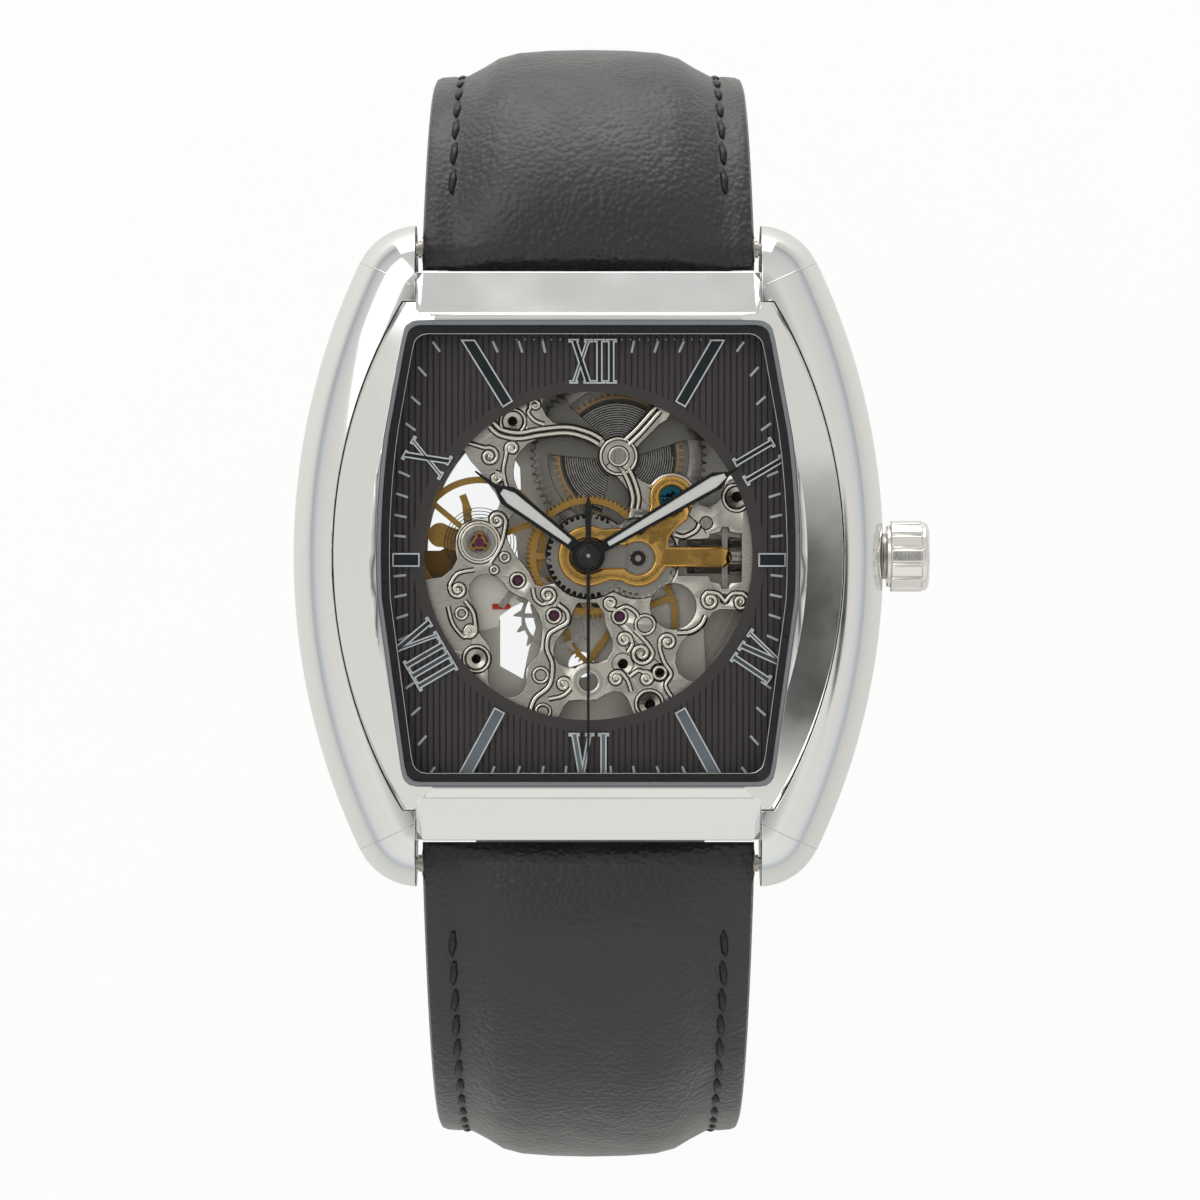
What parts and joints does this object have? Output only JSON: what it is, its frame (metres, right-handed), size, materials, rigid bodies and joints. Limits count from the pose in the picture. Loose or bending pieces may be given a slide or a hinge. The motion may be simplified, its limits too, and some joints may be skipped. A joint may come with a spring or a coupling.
{
  "type": "skeleton wristwatch",
  "caption": "Tonneau-cased skeleton wristwatch with open-worked movement, applied roman numerals and a padded black leather strap with pin buckle.",
  "frame": {"origin": "middle of the case back's outer face, on the axis of the hands", "axes": "+Z out of the dial, +Y to 12 o'clock, +X to the crown at 3 o'clock"},
  "size_m": [0.0444, 0.0811, 0.1031],
  "materials": {
    "case_steel": "mirror polished stainless steel, colourless",
    "bar_steel": "fine turned steel",
    "glass_front": "clear flat mineral glass",
    "glass_back": "clear flat mineral glass",
    "seal": "grey satin seal",
    "dial_brown": "vertically ribbed, dark brown grey, satin",
    "marker": "polished applied metal with dark enamel inlay",
    "plate_nickel": "brushed and engraved nickel plated brass",
    "ruby": "polished synthetic ruby",
    "pallet_ruby": "polished synthetic ruby, light red",
    "gilt": "gilt, brushed",
    "brass_wheel": "brushed brass",
    "blued_steel": "heat blued, polished",
    "steel": "ground steel",
    "spring_steel": "drawn spring steel",
    "hand_black": "gloss black lacquer with white luminous inlay",
    "rotor_metal": "brushed nickel plated",
    "strap_leather": "fine pebbled black calf, satin",
    "buckle_steel": "polished steel"
  },
  "bodies": {
    "case": {"case_middle": "case_steel", "bezel": "case_steel", "crystal": "glass_front", "crystal_gasket": "seal", "case_back": "case_steel", "back_crystal": "glass_back", "back_screws": "steel", "crown_tube": "steel", "spring_bars": "bar_steel", "dial": "dial_brown", "numerals": "marker", "batons": "marker", "main_plate": "plate_nickel", "plate_jewels": "ruby", "shock_block": "steel", "shock_spring": "gilt", "setting_cover": "gilt", "cover_screw": "blued_steel", "pallet_cock": "plate_nickel", "stud_carrier": "brass_wheel", "balance_cock": "plate_nickel", "train_bridge": "plate_nickel"},
    "minute_train": {"centre_wheel": "brass_wheel", "centre_pinion": "steel", "cannon_pinion": "steel", "minute_hand": "hand_black"},
    "barrel": {"barrel_wheel": "steel", "barrel_drum": "brass_wheel", "mainspring": "spring_steel"},
    "winding_arbor": {"ratchet_wheel": "steel", "barrel_arbor": "steel"},
    "third": {"third_wheel": "brass_wheel", "third_pinion": "steel"},
    "seconds_train": {"fourth_wheel": "brass_wheel", "fourth_pinion": "steel", "second_hand": "hand_black"},
    "escape": {"escape_wheel": "steel"},
    "pallet": {"pallet_fork": "steel", "pallet_stones": "pallet_ruby"},
    "balance": {"balance_wheel": "brass_wheel", "balance_staff": "steel", "hairspring": "spring_steel"},
    "motion_wheel": {"minute_wheel": "steel"},
    "hour_train": {"hour_wheel": "steel", "hour_hand": "hand_black"},
    "rotor": {"rotor": "rotor_metal"},
    "stem_pinion": {"winding_pinion": "steel"},
    "stem": {"winding_stem": "steel", "crown": "case_steel"},
    "clutch": {"sliding_pinion": "steel"},
    "crown_wheel": {"crown_wheel": "steel"},
    "setting_lever": {"setting_lever": "steel"},
    "yoke": {"yoke": "steel"},
    "strap_12": {"strap_12": "strap_leather", "fixed_keeper": "strap_leather"},
    "strap_6": {"strap_6": "strap_leather"},
    "buckle": {"buckle_frame": "buckle_steel", "buckle_bar": "bar_steel"},
    "tongue": {"tongue": "buckle_steel"},
    "keeper": {"loose_keeper": "strap_leather"}
  },
  "joints": [
    {"name": "escape_turn", "type": "hinge", "parent": "case", "child": "escape", "pos_m": [-0.00239, -0.00415, 0.0058], "axis": [0, 0, 1], "continuous": true},
    {"name": "seconds_turn", "type": "hinge", "parent": "case", "child": "seconds_train", "pos_m": [0, 0, 0.0039], "axis": [0, 0, 1], "continuous": true},
    {"name": "third_turn", "type": "hinge", "parent": "case", "child": "third", "pos_m": [0.00217, -0.00422, 0.0041], "axis": [0, 0, 1], "continuous": true},
    {"name": "minute_turn", "type": "hinge", "parent": "case", "child": "minute_train", "pos_m": [0, 0, 0.0061], "axis": [0, 0, 1], "continuous": true},
    {"name": "barrel_turn", "type": "hinge", "parent": "case", "child": "barrel", "pos_m": [0.0021, 0.00694, 0.005], "axis": [0, 0, 1], "continuous": true},
    {"name": "minute_wheel_turn", "type": "hinge", "parent": "case", "child": "motion_wheel", "pos_m": [0.00346, -0.00016, 0.0071], "axis": [0, 0, 1], "continuous": true},
    {"name": "hour_turn", "type": "hinge", "parent": "case", "child": "hour_train", "pos_m": [0, 0, 0.0075], "axis": [0, 0, 1], "continuous": true},
    {"name": "pallet_rock", "type": "hinge", "parent": "case", "child": "pallet", "pos_m": [-0.00491, -0.0017, 0.0058], "axis": [0, 0, 1], "range_deg": [-4, 4]},
    {"name": "balance_swing", "type": "hinge", "parent": "case", "child": "balance", "pos_m": [-0.00759, 0.00096, 0.005], "axis": [0, 0, 1], "range_deg": [-270, 270], "stiffness_Nm_per_rad": 0.0000001, "deforming": ["hairspring"]},
    {"name": "rotor_turn", "type": "hinge", "parent": "case", "child": "rotor", "pos_m": [0, 0, 0.0021], "axis": [0, 0, 1], "continuous": true},
    {"name": "crown_turn", "type": "hinge", "parent": "case", "child": "stem_pinion", "pos_m": [0.0103, 0, 0.0044], "axis": [1, 0, 0], "continuous": true},
    {"name": "crown_pull", "type": "slide", "parent": "stem_pinion", "child": "stem", "axis": [1, 0, 0], "range_m": [0, 0.001]},
    {"name": "clutch_shift", "type": "slide", "parent": "stem_pinion", "child": "clutch", "axis": [1, 0, 0], "range_m": [-0.0003, 0]},
    {"name": "crown_wheel_turn", "type": "hinge", "parent": "case", "child": "crown_wheel", "pos_m": [0.00659, 0, 0.0029], "axis": [0, 0, 1], "continuous": true},
    {"name": "ratchet_turn", "type": "hinge", "parent": "case", "child": "winding_arbor", "pos_m": [0.0021, 0.00694, 0.0029], "axis": [0, 0, 1], "continuous": true},
    {"name": "setting_lever_turn", "type": "hinge", "parent": "case", "child": "setting_lever", "pos_m": [0.0082, 0.0023, 0.0058], "axis": [0, 0, 1], "range_deg": [0, 28.7]},
    {"name": "yoke_turn", "type": "hinge", "parent": "case", "child": "yoke", "pos_m": [0.0095, -0.003, 0.0061], "axis": [0, 0, 1], "range_deg": [0, 5.8]},
    {"name": "strap_12_swing", "type": "hinge", "parent": "case", "child": "strap_12", "pos_m": [0, 0.0215, 0.0042], "axis": [1, 0, 0], "range_deg": [-15, 50]},
    {"name": "strap_6_swing", "type": "hinge", "parent": "case", "child": "strap_6", "pos_m": [0, -0.0215, 0.0042], "axis": [-1, 0, 0], "range_deg": [-15, 50]},
    {"name": "buckle_swing", "type": "hinge", "parent": "strap_12", "child": "buckle", "pos_m": [0, 0.02295, -0.05289], "axis": [1, 0, 0], "range_deg": [-60, 60]},
    {"name": "tongue_swing", "type": "hinge", "parent": "buckle", "child": "tongue", "pos_m": [0, 0.02295, -0.05289], "axis": [1, 0, 0], "range_deg": [0, 35]},
    {"name": "keeper_slide", "type": "slide", "parent": "strap_12", "child": "keeper", "axis": [0, -0.2747, -0.9615], "range_m": [-0.002, 0.002]}
  ],
  "couplings": [
    {"joint": "seconds_turn", "follows": "escape_turn", "ratio": -0.1},
    {"joint": "third_turn", "follows": "escape_turn", "ratio": 0.013333},
    {"joint": "minute_turn", "follows": "escape_turn", "ratio": -0.0016667},
    {"joint": "barrel_turn", "follows": "escape_turn", "ratio": 0.00033333},
    {"joint": "minute_wheel_turn", "follows": "escape_turn", "ratio": 0.00055556},
    {"joint": "hour_turn", "follows": "escape_turn", "ratio": -0.00013889},
    {"joint": "crown_wheel_turn", "follows": "crown_turn", "ratio": 0.33333},
    {"joint": "ratchet_turn", "follows": "crown_turn", "ratio": -0.26667},
    {"joint": "clutch_shift", "follows": "crown_pull", "ratio": -0.3},
    {"joint": "setting_lever_turn", "follows": "crown_pull", "rad_per_m": 500},
    {"joint": "yoke_turn", "follows": "crown_pull", "rad_per_m": 100}
  ]
}
